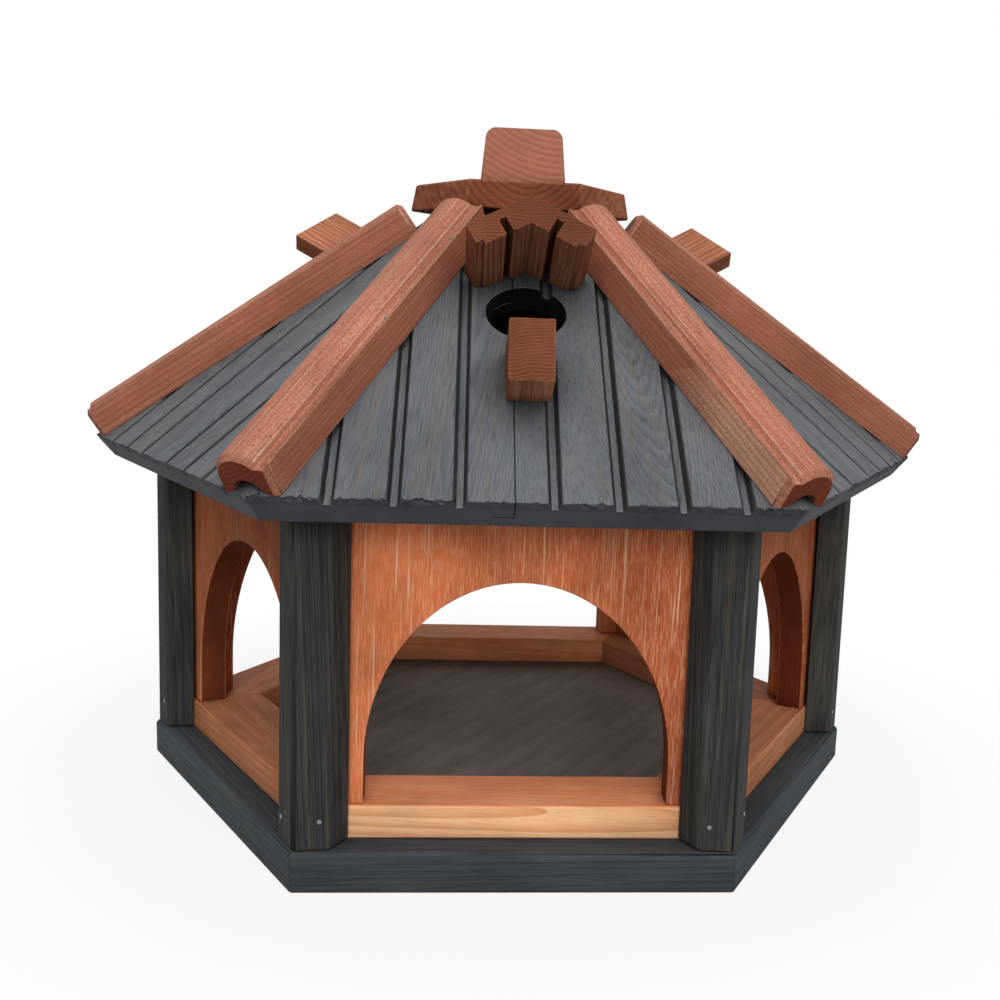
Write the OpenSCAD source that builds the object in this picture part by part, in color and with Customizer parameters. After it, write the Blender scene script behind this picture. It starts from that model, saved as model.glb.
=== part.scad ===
// Hexagonal wooden bird feeder with nest holes under dormers in its roof.
// Millimetres. +Z is up, -Y is the front, and the origin is under the middle of the base.

/* [Base] */
// Base ring, from the middle out to a corner
base_corner_r = 250; // [236:1:300]
// Width of a base rail, seen from above
base_rail_w = 45; // [38:1:56]
// Height of a base rail
base_rail_h = 24; // [20:1:32]
// Rounding along the upper outer edge of a base rail
base_edge_r = 4; // [1:0.5:8]
// Thickness of the floor board
floor_t = 18; // [9:1:20]

/* [Sills] */
// From the outer face of a base rail in to the outer face of a sill
sill_setback = 18; // [14:0.5:22]
// Depth of a sill, from its outer face to its inner face
sill_d = 46; // [38:1:56]
// Height of a sill
sill_h = 20; // [16:1:28]
// Rounding along the edges of a sill
sill_edge_r = 1.5; // [0.5:0.5:4]

/* [Arch panels] */
// From the outer face of a sill in to the outer face of a panel
panel_setback = 2; // [1:0.5:6]
// Thickness of a panel
panel_t = 18; // [12:1:22]
// Height of a panel
panel_h = 203.5; // [185:0.5:240]
// Width of the arch
arch_w = 174; // [130:2:186]
// Height of the straight jambs of the arch
arch_jamb_h = 25; // [10:1:40]
// Rise of the curved part of the arch
arch_rise = 105; // [80:1:130]

/* [Corner posts] */
// Width of a post across its two outer faces
post_w = 36; // [30:1:44]
// From the outer face of a base rail in to the outer face of a post
post_setback = 1.5; // [0.5:0.5:5]
// Rounding of the outer corner of a post
post_corner_r = 6; // [2:0.5:10]

/* [Roof boards] */
// Slope of the roof faces, in degrees
roof_pitch = 38.5; // [32:0.5:44]
// Thickness of a roof board
roof_t = 18; // [14:1:22]
// From the outer face of a panel out to the upper edge of the eave
eave_overhang = 53.5; // [44:0.5:70]
// From the middle out to the edge of the level seat under the cap
cap_seat = 49; // [40:1:58]
// How far the seam of two boards lies to the left of the middle of a face
seam_offset = 8; // [0:1:14]
// Width of the half-lap
lap_w = 10.5; // [6:0.5:16]
// Thickness of the upper lip of the half-lap
lap_lip_t = 11; // [6:0.5:12]
// Open gap along the seam
lap_gap = 0.4; // [0.2:0.1:2]
// Spacing of the grooves
groove_pitch = 33.5; // [26:0.5:44]
// From the seam to the first groove of the board that laps over
groove_first_over = 28; // [16:1:34]
// From the seam to the first groove of the board that lies under
groove_first_under = 20.5; // [12:0.5:30]
// Least distance from a groove to the end of the eave
groove_margin = 16; // [10:1:30]
// Width of a groove at the face of the board
groove_w = 8; // [4:0.5:10]
// Width of a groove at its floor
groove_floor_w = 3.5; // [1:0.5:4]
// Depth of a groove
groove_d = 5.2; // [2:0.1:7]

/* [Nest holes] */
// Diameter of a nest hole
hole_d = 48; // [32:1:52]
// From the eave up the slope to the middle of a nest hole
hole_seat = 153; // [148:1:170]
// Upward tilt of the dormers and the perch blocks, in degrees
porch_tilt = 24; // [15:1:35]
// Width of a perch block
perch_w = 25; // [18:1:34]
// Height of a perch block
perch_h = 35.5; // [24:0.5:40]
// From the eave up the slope to the lower edge of a perch block
perch_seat = 76; // [60:1:80]
// Length of the underside of a perch block
perch_reach = 33.5; // [20:0.5:50]

/* [Dormers] */
// From the eave up the slope to the foot of the ridge of a dormer
dormer_seat = 210.5; // [196:0.5:212]
// Length of the ridge of a dormer
dormer_ridge_len = 76; // [60:1:84]
// Width of a dormer over both boards
dormer_w = 74; // [64:1:84]
// Slope of the dormer boards, in degrees
dormer_pitch = 29; // [20:1:34]
// Thickness of a dormer board
dormer_t = 15.5; // [12:0.5:18]
// From the ridge down the board to the groove in its underside
dormer_groove_at = 22; // [16:0.5:28]
// Width of the groove in the underside of a dormer board
dormer_groove_w = 4.5; // [2:0.5:7]
// Depth of the groove in the underside of a dormer board
dormer_groove_d = 10; // [3:0.5:11]
// Width of the rebate along the lower edge of a dormer board
dormer_rebate_w = 4.5; // [2:0.5:8]
// Depth of the rebate along the lower edge of a dormer board
dormer_rebate_d = 3; // [1:0.5:6]

/* [Hip battens] */
// From the corner of the eave up the hip to the foot of a batten
batten_foot = 7; // [2:0.5:20]
// Level gap between the lower corner of the cap and the head of a batten
batten_head_gap = 3; // [2:0.5:12]
// From the hip to the flat side of a batten
batten_flat_w = 16; // [14:0.5:20]
// Height of the flat side above the hip
batten_flat_h = 15.5; // [13:0.5:20]
// Radius of the roll
batten_roll_r = 17; // [15:0.5:18]
// From the hip to the middle of the roll
batten_roll_at = 3.5; // [3:0.5:6]
// Height of the middle of the roll above the hip
batten_roll_h = 3; // [2:0.5:5]
// How far the outer side of the roll leans in towards its foot
batten_roll_lean = 2.5; // [0:0.5:4]
// Radius of the cove
batten_cove_r = 4; // [3:0.5:5]
// From the hip to the middle of the cove
batten_cove_at = 11.5; // [11:0.5:12.5]
// Depth of the cove below the flat side's top edge
batten_cove_d = 3; // [1:0.5:4]
// Radius of the channel underneath
batten_channel_r = 9.6; // [6:0.1:10]
// From the hip to the middle of the channel
batten_channel_at = 2.2; // [1:0.1:4]
// Height of the channel's crown above the hip
batten_channel_h = 4.5; // [3:0.5:6]
// Chamfer round both ends of a batten
batten_end_chamfer = 3; // [1:0.5:5]

/* [Cap and chimney block] */
// Cap, from the middle out to a corner of its underside
cap_corner_r = 75.5; // [70:0.5:84]
// Thickness of the cap
cap_t = 18; // [12:1:24]
// How far each edge of the cap leans in
cap_lean = 3; // [0:0.5:8]
// Width of the chimney block at its foot
block_w = 57; // [46:1:70]
// Width of the chimney block at its top
block_top_w = 50; // [38:1:60]
// Height of the chimney block
block_h = 37; // [26:1:50]
// Length of the chimney block, front to back
block_len = 57; // [40:1:70]
// Rounding of the upper corners of the chimney block
block_corner_r = 7; // [3:0.5:12]

/* [Loft floor] */
// Thickness of the loft floor
loft_t = 9; // [6:0.5:15]
// Gap between the edge of the loft floor and the roof boards
loft_gap = 0.3; // [0.1:0.1:1]

/* [Nails] */
// Diameter of a nail
nail_d = 1.6; // [1.2:0.1:2.2]
// Diameter of a nail's head
nail_head_d = 2.6; // [2.4:0.1:5]
// Thickness of a nail's head
nail_head_t = 0.6; // [0.4:0.1:1.2]
// Clearance round a nail, on the radius
nail_fit = 0.05; // [0.02:0.01:0.2]
// Length of the nails in the posts
post_nail_len = 32; // [26:1:44]
// From the corner of a post to its nail, along the face
post_nail_inset = 15; // [8:0.5:16]
// From the top of a sill down to the left-hand post nail of a side
post_nail_drop = 2.5; // [2:0.5:8]
// How much lower the right-hand nail is, so that the nails of a post pass each other
post_nail_step = 2.5; // [2.5:0.5:6]
// Length of the nails in the battens
batten_nail_len = 30; // [22:1:32]
// From the hip to the nails of a batten
batten_nail_at = 11.3; // [10.5:0.1:12]
// How far the heads of the batten nails are sunk below the cove
batten_nail_sink = 0.3; // [0.1:0.1:1]
// From the corner of the eave up the hip to the lower nail of a batten
batten_nail_low = 140; // [60:1:160]
// From the corner of the eave up the hip to the upper nail of a batten
batten_nail_high = 225; // [180:1:235]

/* [Hidden] */
$fn = 64;

// The sides and corners of the hexagon, anticlockwise seen from above
SIDES = ["front", "front_right", "back_right", "back", "back_left", "front_left"];
CORNERS = ["right", "back_right", "back_left", "left", "front_left", "front_right"];
HANDS = ["left", "right"];
NEST_SIDES = [0, 2, 4];
// Which way the flat side of each corner's batten faces: 1 is anticlockwise
FLAT_TURN = [-1, 1, -1, 1, 1, -1];
function side_angle(i) = 270 + 60 * i;
function corner_angle(i) = 60 * i;

// Each side and corner is drawn once, then turned into its place
half_turn = 30;
// Larger than the whole feeder: the reach of a cutting block
far = 4 * base_corner_r;
// Overshoot of a cut past the face that it leaves by
over = 1;

// Distances from the middle to flat faces, and heights, from the ground up
base_apothem = base_corner_r * cos(half_turn);
floor_apothem = base_apothem - base_rail_w;
sill_outer = base_apothem - sill_setback;
sill_inner = sill_outer - sill_d;
sill_top = base_rail_h + sill_h;
panel_outer = sill_outer - panel_setback;
panel_top = sill_top + panel_h;
post_outer = base_apothem - post_setback;

// The roof's lower faces meet the upper outer edges of the panels
eave_apothem = panel_outer + eave_overhang;
eave_z = panel_top - eave_overhang * tan(roof_pitch) + roof_t / cos(roof_pitch);
eave_corner_r = eave_apothem / cos(half_turn);
eave_half = eave_apothem * tan(half_turn);
slope_len = eave_apothem / cos(roof_pitch);
cap_z = eave_z + (eave_apothem - cap_seat) * tan(roof_pitch);

// The hips run up at a lower pitch, and the roof falls away from them on both sides
hip_pitch = atan(tan(roof_pitch) * cos(half_turn));
hip_rise = sin(roof_pitch) * cos(half_turn) * sin(hip_pitch) + cos(roof_pitch) * cos(hip_pitch);
hip_fall = sin(roof_pitch) * sin(half_turn) / hip_rise;
batten_head = (eave_corner_r - cap_corner_r - batten_head_gap) * cos(hip_pitch)
    + (cap_z - eave_z) * sin(hip_pitch);
batten_len = batten_head - batten_foot;
batten_roll_side = batten_roll_at + batten_roll_r;
batten_roll_top = batten_roll_h + batten_roll_r;
batten_cove_h = batten_flat_h - batten_cove_d + batten_cove_r;
cove_drop = sqrt(batten_cove_r ^ 2 - (batten_nail_at - batten_cove_at) ^ 2);
batten_nail_seat = batten_cove_h - cove_drop - batten_nail_sink;

dormer_board_w = dormer_w / 2 / cos(dormer_pitch);
nail_bore_d = nail_d + 2 * nail_fit;
nail_sink_d = nail_head_d + 2 * nail_fit;
post_nail_along = post_outer * tan(half_turn) - post_nail_inset;

// Places

// A side faces the front, with +X to the right as seen from outside, before it is turned
module on_side(i) {
    rotate([0, 0, side_angle(i) + 90]) children();
}

// A corner points along +X before it is turned
module on_corner(i) {
    rotate([0, 0, corner_angle(i)]) children();
}

// The upper face of a roof side: X to the right, Y up the slope from the eave, Z out of the face
module on_slope() {
    translate([0, -eave_apothem, eave_z]) rotate([roof_pitch, 0, 0]) children();
}

// A hip: X down the hip, with 0 at the corner of the eave, Y anticlockwise, Z up from the hip
module on_hip() {
    translate([eave_corner_r, 0, eave_z]) rotate([0, hip_pitch, 0]) children();
}

// A porch piece that leaves the slope at a seat: X to the right, Y up, Z outwards along the tilt
module on_porch(seat) {
    on_slope() translate([0, seat, 0]) rotate([90 - porch_tilt - roof_pitch, 0, 0]) children();
}

// Shapes that several pieces share

// Extrudes an (outwards, up) profile along a side
module along_side() {
    translate([-far / 2, 0, 0]) rotate([90, 0, 90]) linear_extrude(far) mirror([1, 0]) children();
}

// Cuts a side piece to its sixth of the hexagon, which mitres its ends
module mitred() {
    intersection() {
        children();
        linear_extrude(far) polygon([[0, 0], [-far * tan(half_turn), -far], [far * tan(half_turn), -far]]);
    }
}

// Everything outside the roof of one side, down to a depth below its upper face
module outside_roof(depth) {
    on_slope() translate([-far / 2, -far / 2, -depth]) cube(far);
}

// Everything inside the upper face of the roof of one side
module inside_roof() {
    on_slope() translate([-far / 2, -far / 2, -far]) cube(far);
}

// A hexagonal plate whose edges lean in towards its top
module hexagon_plate(low_apothem, high_apothem, thickness) {
    intersection_for (i = [0:2]) {
        on_side(i) along_side() polygon([
            [-low_apothem, 0],
            [low_apothem, 0],
            [high_apothem, thickness],
            [-high_apothem, thickness]
        ]);
    }
}

// A bar's section with rounded edges
module eased_section(w, h, r) {
    translate([r, 0]) square([w - 2 * r, h]);
    translate([0, r]) square([w, h - 2 * r]);
    for (x = [r, w - r]) for (y = [r, h - r]) translate([x, y]) circle(r);
}

// A nail along -Z, with its head seated at Z = 0
module nail(length) {
    translate([0, 0, -length]) cylinder(d = nail_d, h = length);
    cylinder(d = nail_head_d, h = nail_head_t);
}

// The two post nails of a side, or other children, at their places
module at_post_nails() {
    for (hand = [-1, 1]) {
        h = sill_top - post_nail_drop - (hand > 0 ? post_nail_step : 0);
        translate([hand * post_nail_along, -post_outer, h]) rotate([90, 0, 0]) children();
    }
}

// The two nails of a corner's batten, or other children, at their places
module at_batten_nails(corner) {
    for (d = [batten_nail_low, batten_nail_high]) {
        on_hip() translate([-d, FLAT_TURN[corner] * batten_nail_at, batten_nail_seat]) children();
    }
}

module post_nail_bores() {
    at_post_nails() translate([0, 0, -post_nail_len]) cylinder(d = nail_bore_d, h = post_nail_len + over);
}

// A batten nail's bore, with room for the sunk head above it
module batten_nail_bores(corner) {
    at_batten_nails(corner) {
        translate([0, 0, -batten_nail_len]) cylinder(d = nail_bore_d, h = batten_nail_len + over);
        cylinder(d = nail_sink_d, h = batten_roll_r);
    }
}

// Base

module base_rail(i) {
    color("#454a4d") on_side(i) mitred() along_side() difference() {
        translate([floor_apothem, 0]) square([base_rail_w, base_rail_h]);
        translate([base_apothem - base_edge_r, base_rail_h - base_edge_r]) difference() {
            square(base_edge_r + over);
            circle(base_edge_r);
        }
    }
}

module floor_board() {
    color("#484440") translate([0, 0, base_rail_h - floor_t])
        hexagon_plate(floor_apothem, floor_apothem, floor_t);
}

module sill(i) {
    color("#d7a573") on_side(i) difference() {
        mitred() along_side() translate([sill_inner, base_rail_h])
            eased_section(sill_d, sill_h, sill_edge_r);
        for (turn = [-2 * half_turn, 0, 2 * half_turn]) rotate([0, 0, turn]) post_nail_bores();
    }
}

// Walls

// Half an ellipse on straight jambs, with its foot at Y = 0
module arch_outline() {
    steps = 48;
    crown = [for (k = [0:steps]) let (a = 180 * k / steps)
        [arch_w / 2 * cos(a), arch_jamb_h + arch_rise * sin(a)]];
    polygon(concat([[arch_w / 2, -over]], crown, [[-arch_w / 2, -over]]));
}

module arch_panel(i) {
    color("#b96941") on_side(i) mitred() translate([0, -panel_outer + panel_t, sill_top]) {
        rotate([90, 0, 0]) linear_extrude(panel_t) difference() {
            translate([-far / 2, 0]) square([far, panel_h]);
            arch_outline();
        }
    }
}

// A post's section: two outer faces with a rounded corner, and a V that seats on two sills
module post_section() {
    half = post_w / 2;
    round_at = (post_outer - post_corner_r) / cos(half_turn);
    outer_edge = (post_outer - half * sin(half_turn)) / cos(half_turn);
    inner_edge = (sill_outer - half * sin(half_turn)) / cos(half_turn);
    tangent = [round_at + post_corner_r * cos(half_turn), post_corner_r * sin(half_turn)];
    polygon([
        [sill_outer / cos(half_turn), 0],
        [inner_edge, -half],
        [outer_edge, -half],
        [tangent.x, -tangent.y],
        [tangent.x, tangent.y],
        [outer_edge, half],
        [inner_edge, half]
    ]);
    translate([round_at, 0]) circle(post_corner_r);
}

module corner_post(i) {
    color("#3e3f3f") on_corner(i) difference() {
        translate([0, 0, base_rail_h]) linear_extrude(panel_top - base_rail_h) post_section();
        for (turn = [-half_turn, half_turn]) rotate([0, 0, turn + 90]) {
            outside_roof(roof_t);
            post_nail_bores();
        }
    }
}

// Roof

// The trapezoid section of one groove, at a distance to the right of the middle of the face
module groove_section(at) {
    polygon([
        [at - groove_w / 2, over],
        [at - groove_w / 2, 0],
        [at - groove_floor_w / 2, -groove_d],
        [at + groove_floor_w / 2, -groove_d],
        [at + groove_w / 2, 0],
        [at + groove_w / 2, over]
    ]);
}

// The board to the left of the seam, which laps over the other
module over_board_section() {
    seam = -seam_offset - lap_gap / 2;
    last = floor((eave_half + seam - groove_first_over - groove_margin) / groove_pitch);
    difference() {
        polygon([
            [-eave_half, 0],
            [seam, 0],
            [seam, -lap_lip_t],
            [seam - lap_w, -lap_lip_t],
            [seam - lap_w, -roof_t],
            [-eave_half, -roof_t]
        ]);
        for (k = [0:last]) groove_section(seam - groove_first_over - k * groove_pitch);
    }
}

// The board to the right of the seam, which lies under the lap
module under_board_section() {
    seam = -seam_offset + lap_gap / 2;
    last = floor((eave_half - seam - groove_first_under - groove_margin) / groove_pitch);
    difference() {
        polygon([
            [eave_half, 0],
            [seam, 0],
            [seam, -lap_lip_t],
            [seam - lap_w, -lap_lip_t],
            [seam - lap_w, -roof_t],
            [eave_half, -roof_t]
        ]);
        for (k = [0:last]) groove_section(seam + groove_first_under + k * groove_pitch);
    }
}

// Runs a board's section up the slope, mitres it at the hips and cuts it level under the cap
module roof_board(i, nail_corner) {
    color("#6e7176") difference() {
        on_side(i) difference() {
            mitred() on_slope() translate([0, slope_len, 0]) rotate([90, 0, 0]) linear_extrude(slope_len)
                children();
            translate([-far / 2, -far / 2, cap_z]) cube(far);
            if (len(search(i, NEST_SIDES)) > 0) nest_hole();
        }
        on_corner(nail_corner) batten_nail_bores(nail_corner);
    }
}

module nest_hole() {
    on_slope() translate([0, hole_seat, -roof_t - over]) cylinder(d = hole_d, h = roof_t + 2 * over);
}

module roof_over_board(i) {
    roof_board(i, (i + 4) % 6) over_board_section();
}

module roof_under_board(i) {
    roof_board(i, (i + 5) % 6) under_board_section();
}

// A batten's section, flat side to the left, before its feet are cut to the two roof faces
module batten_blank() {
    drop = batten_flat_w + batten_roll_r;
    lean = batten_roll_lean * (batten_roll_h + drop) / (batten_roll_h + batten_roll_side * hip_fall);
    difference() {
        translate([-batten_flat_w, -drop])
            square([batten_flat_w + batten_roll_side, drop + batten_roll_top]);
        difference() {
            translate([-batten_flat_w - over, batten_flat_h])
                square([batten_flat_w + batten_roll_at + over, drop]);
            translate([batten_roll_at, batten_roll_h]) circle(batten_roll_r);
        }
        translate([batten_roll_at, batten_roll_h]) difference() {
            square(drop);
            circle(batten_roll_r);
        }
        translate([batten_roll_side, batten_roll_h])
            polygon([[0, 0], [-lean, -batten_roll_h - drop], [over, -batten_roll_h - drop], [over, 0]]);
        translate([-batten_cove_at, batten_cove_h]) circle(batten_cove_r);
    }
}

module batten_section() {
    reach = 2 * (batten_flat_w + batten_roll_r);
    difference() {
        batten_blank();
        polygon([
            [0, 0],
            [-reach, -reach * hip_fall],
            [-reach, -reach],
            [reach, -reach],
            [reach, -reach * hip_fall]
        ]);
        translate([batten_channel_at, batten_channel_h - batten_channel_r]) circle(batten_channel_r);
    }
}

// A batten's length against its width or height: both ends taper in at 45 degrees
module batten_taper(low, high) {
    near = low + batten_end_chamfer;
    out = high - batten_end_chamfer;
    mid = batten_len / 2;
    linear_extrude(far, center = true) polygon([
        [near, 0],
        [out, 0],
        [out + mid, mid],
        [out, batten_len],
        [near, batten_len],
        [near - mid, mid]
    ]);
}

// What the chamfered ends keep: cones round the roll, a tapered bar beside it and all that is below it
module batten_ends() {
    narrow = batten_roll_r - batten_end_chamfer;
    wide = narrow + batten_len;
    translate([batten_roll_at, batten_roll_h, 0]) intersection() {
        cylinder(r1 = narrow, r2 = wide, h = batten_len);
        cylinder(r1 = wide, r2 = narrow, h = batten_len);
    }
    translate([-far / 2, batten_roll_h - far, 0]) cube([far, far, batten_len]);
    intersection() {
        rotate([90, 0, 90]) batten_taper(-far, batten_flat_h);
        translate([batten_roll_at - far, -far / 2, 0]) cube([far, far, batten_len]);
    }
}

// A batten along Z, head first, flat side to the left
module batten_bar() {
    intersection() {
        linear_extrude(batten_len) batten_section();
        rotate([90, 0, 0]) batten_taper(-batten_flat_w, batten_roll_side);
        batten_ends();
    }
}

module hip_batten(i) {
    color("#c4806a") on_corner(i) difference() {
        on_hip() translate([-batten_head, 0, 0]) rotate([90, 0, 90])
            mirror([FLAT_TURN[i] > 0 ? 1 : 0, 0, 0]) batten_bar();
        batten_nail_bores(i);
    }
}

module loft_floor() {
    edge = panel_outer - loft_gap / sin(roof_pitch);
    color("#d9b98a") translate([0, 0, panel_top])
        hexagon_plate(edge, edge - loft_t / tan(roof_pitch), loft_t);
}

// Cap

module apex_cap() {
    low = cap_corner_r * cos(half_turn);
    color("#7d4a38") translate([0, 0, cap_z]) hexagon_plate(low, low - cap_lean, cap_t);
}

// The block's front outline: sides that lean in and rounded upper corners
module block_outline() {
    side_lean = atan((block_w - block_top_w) / 2 / block_h);
    round_h = block_h - block_corner_r;
    round_at = block_w / 2 - round_h * tan(side_lean) - block_corner_r / cos(side_lean);
    tangent = [
        round_at + block_corner_r * cos(side_lean),
        round_h + block_corner_r * sin(side_lean)
    ];
    polygon([
        [-block_w / 2, 0],
        [block_w / 2, 0],
        [tangent.x, tangent.y],
        [round_at, block_h],
        [-round_at, block_h],
        [-tangent.x, tangent.y]
    ]);
    for (x = [-round_at, round_at]) translate([x, round_h]) circle(block_corner_r);
}

module chimney_block() {
    color("#a76a54") translate([0, block_len / 2, cap_z + cap_t]) rotate([90, 0, 0])
        linear_extrude(block_len) block_outline();
}

// Nest porches

module perch_block(i) {
    color("#a34f2f") on_side(i) difference() {
        on_porch(perch_seat) translate([-perch_w / 2, 0, -far / 4])
            cube([perch_w, perch_h, far / 4 + perch_reach]);
        inside_roof();
    }
}

// The section of the right-hand board of a dormer, with its ridge at the origin
module dormer_board_section() {
    intersection() {
        rotate(-dormer_pitch) difference() {
            translate([-dormer_board_w, -dormer_t]) square([2 * dormer_board_w, dormer_t]);
            translate([dormer_groove_at - dormer_groove_w / 2, -dormer_t - over])
                square([dormer_groove_w, dormer_groove_d + over]);
            translate([dormer_board_w - dormer_rebate_w, -dormer_t - over])
                square([dormer_rebate_w + over, dormer_rebate_d + over]);
        }
        translate([0, -2 * dormer_w]) square([dormer_w, 2 * dormer_w]);
    }
}

module dormer_board(i, hand) {
    color("#8c4b33") on_side(i) difference() {
        on_porch(dormer_seat) translate([0, 0, -far / 4]) linear_extrude(far / 4 + dormer_ridge_len)
            mirror([hand == "left" ? 1 : 0, 0]) dormer_board_section();
        inside_roof();
    }
}

// Nails

module post_nails() {
    color("#b9bcc0") for (i = [0:5]) on_side(i) at_post_nails() nail(post_nail_len);
}

module batten_nails() {
    color("#b9bcc0") for (i = [0:5]) on_corner(i) at_batten_nails(i) nail(batten_nail_len);
}

// Drawing

floor_board();
loft_floor();
apex_cap();
chimney_block();
post_nails();
batten_nails();
for (i = [0:5]) {
    base_rail(i);
    sill(i);
    arch_panel(i);
    roof_over_board(i);
    roof_under_board(i);
    corner_post(i);
    hip_batten(i);
}
for (i = NEST_SIDES) {
    perch_block(i);
    for (hand = HANDS) {
        dormer_board(i, hand);
    }
}
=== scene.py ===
# %% [markdown]
# # A hexagonal bird feeder in stained softwood
#
# The joinery of this feeder is already cut to size in the frame. What Blender adds is what a joiner
# adds last: sandpaper on the edges, torn fibres where the saw left the eaves, and two wood stains.
# We could paint flat colours on the loaded boards, but a bare machine edge never catches the light,
# so each board gets a copy with eased edges and a grain that runs the way the real board was sawn.

# %% Load the frame
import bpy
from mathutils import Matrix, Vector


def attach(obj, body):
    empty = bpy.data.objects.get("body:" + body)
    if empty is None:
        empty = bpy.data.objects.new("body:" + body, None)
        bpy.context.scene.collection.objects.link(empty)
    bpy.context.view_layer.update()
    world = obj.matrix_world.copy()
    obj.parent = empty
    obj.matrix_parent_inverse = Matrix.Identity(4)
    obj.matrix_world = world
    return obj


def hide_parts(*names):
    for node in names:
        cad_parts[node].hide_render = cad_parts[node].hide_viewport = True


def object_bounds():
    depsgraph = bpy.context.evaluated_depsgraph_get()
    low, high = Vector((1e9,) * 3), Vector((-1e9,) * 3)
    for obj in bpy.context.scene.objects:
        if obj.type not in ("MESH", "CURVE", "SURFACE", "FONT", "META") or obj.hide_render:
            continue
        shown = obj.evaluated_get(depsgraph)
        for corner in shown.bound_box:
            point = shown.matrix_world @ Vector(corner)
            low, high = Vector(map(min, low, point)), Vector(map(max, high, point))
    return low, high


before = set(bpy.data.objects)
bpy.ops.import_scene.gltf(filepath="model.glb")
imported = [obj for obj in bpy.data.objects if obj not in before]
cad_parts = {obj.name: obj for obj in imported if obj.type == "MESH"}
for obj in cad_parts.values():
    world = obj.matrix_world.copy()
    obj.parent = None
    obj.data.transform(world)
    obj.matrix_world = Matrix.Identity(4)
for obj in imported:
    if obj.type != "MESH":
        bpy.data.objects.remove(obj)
cad_low, cad_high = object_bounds()
print("frame:", len(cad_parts), "nodes,", [round(v, 3) for v in cad_high - cad_low], "m")

# %% [markdown]
# ## Camera
#
# The picture was taken from a little above the eaves, close in front, with the camera turned, tipped
# and rolled by a few degrees. A camera could be aimed with a Track To constraint, but that allows no
# roll, so we build its three axes from the angles and hand Blender the finished matrix.

# %% Place the camera
from math import atan, cos, degrees, pi, radians, sin, tan

import bpy
from mathutils import Matrix, Vector

EYE = Vector((-0.0349, -0.8640, 0.3293))
CAMERA_YAW = 0.0796
CAMERA_PITCH = 0.1473
CAMERA_ROLL = -0.0372
LENS_MM = 44.086
# The picture was cropped a little off the lens axis, as a share of its width
CROP_SHIFT = (-0.0594, -0.0148)

level_forward = Vector((sin(CAMERA_YAW), cos(CAMERA_YAW), 0))
forward = cos(CAMERA_PITCH) * level_forward - sin(CAMERA_PITCH) * Vector((0, 0, 1))
level_right = Vector((cos(CAMERA_YAW), -sin(CAMERA_YAW), 0))
level_up = level_right.cross(forward)
right = cos(CAMERA_ROLL) * level_right - sin(CAMERA_ROLL) * level_up
up = sin(CAMERA_ROLL) * level_right + cos(CAMERA_ROLL) * level_up

lens = bpy.data.cameras.new("camera")
lens.lens = LENS_MM
lens.shift_x, lens.shift_y = CROP_SHIFT
camera = bpy.data.objects.new("camera", lens)
camera.matrix_world = Matrix.Translation(EYE) @ Matrix((right, up, -forward)).transposed().to_4x4()
bpy.context.scene.collection.objects.link(camera)
bpy.context.scene.camera = camera
bpy.context.scene.view_settings.view_transform = "Standard"
print("camera:", LENS_MM, "mm lens at", tuple(round(v, 3) for v in EYE))

# %% [markdown]
# ## One helper for every node
#
# Shader trees in code get long because each node needs its settings, its values and its links.
# This small function does all three: a socket given as a value becomes a link, anything else becomes
# the input's own number. Colours are picked as sRGB hex, the way a paint chart gives them, and the
# renderer works in linear light, so one function converts them.

# %% Node and colour helpers
# The two inputs and the output that a Mix node has for colours
MIX_A, MIX_B, MIX_OUT = 6, 7, 2
# Millimetres in a metre
MM = 1000


def linear(hex_colour):
    channels = [int(hex_colour[i:i + 2], 16) / 255 for i in (1, 3, 5)]
    return tuple(c / 12.92 if c <= 0.04045 else ((c + 0.055) / 1.055) ** 2.4 for c in channels) + (1,)


def add(tree, kind, inputs=None, **settings):
    node = tree.nodes.new(kind)
    for name, value in settings.items():
        setattr(node, name, value)
    for name, value in (inputs or {}).items():
        if isinstance(value, bpy.types.NodeSocket):
            tree.links.new(value, node.inputs[name])
        else:
            node.inputs[name].default_value = value
    return node


print("grey stain in linear light:", [round(c, 3) for c in linear("#6a6d72")[:3]])

# %% [markdown]
# ## Sky
#
# A product shot on white needs a bright backdrop that doesn't flood the object with light. The Light
# Path node tells the backdrop what kind of ray is asking: camera rays and reflections see white, while
# the rays that carry soft light see a dim sky. A white screen behind the feeder would do for one view,
# but the sky is there from every side.

# %% Sky
SKY_LIGHT = 0.16


def seen_directly(tree):
    path = add(tree, "ShaderNodeLightPath")
    seen = path.outputs["Is Camera Ray"]
    for kind in ("Is Glossy Ray", "Is Transmission Ray"):
        either = add(tree, "ShaderNodeMath", {0: seen, 1: path.outputs[kind]}, operation="MAXIMUM")
        seen = either.outputs[0]
    return seen


sky = bpy.data.worlds.new("studio")
sky.use_nodes = True
bpy.context.scene.world = sky
sky_tree = sky.node_tree
sky_tree.nodes.clear()
sky_strength = add(sky_tree, "ShaderNodeMapRange", {
    "Value": seen_directly(sky_tree), "To Min": SKY_LIGHT, "To Max": 1.0})
background = add(sky_tree, "ShaderNodeBackground", {
    "Color": linear("#ffffff"), "Strength": sky_strength.outputs["Result"]})
add(sky_tree, "ShaderNodeOutputWorld", {"Surface": background.outputs[0]})
print("sky gives", SKY_LIGHT, "of full light")

# %% [markdown]
# ## Floor
#
# White studio paper lies under the feeder to catch its contact shadow. A plane would end in a horizon,
# so the floor is a disc whose paper fades to plain white towards its rim. The rays that carry soft
# light find it grey, just as they find the sky dim.

# %% Floor
import bmesh

FLOOR_RADIUS = 6.0
FLOOR_SEGMENTS = 96
# What the rays of soft light find, and what the camera sees
PAPER_DIM, PAPER_SEEN = "#8a8a8a", "#fbfbfb"
# The fade to white, in metres from the middle
FADE_FROM, FADE_TO = 0.26, 0.5
# Even close by, this share of the paper is plain white, so that the shadow stays faint
PAPER_GLOW = 0.86
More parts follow.
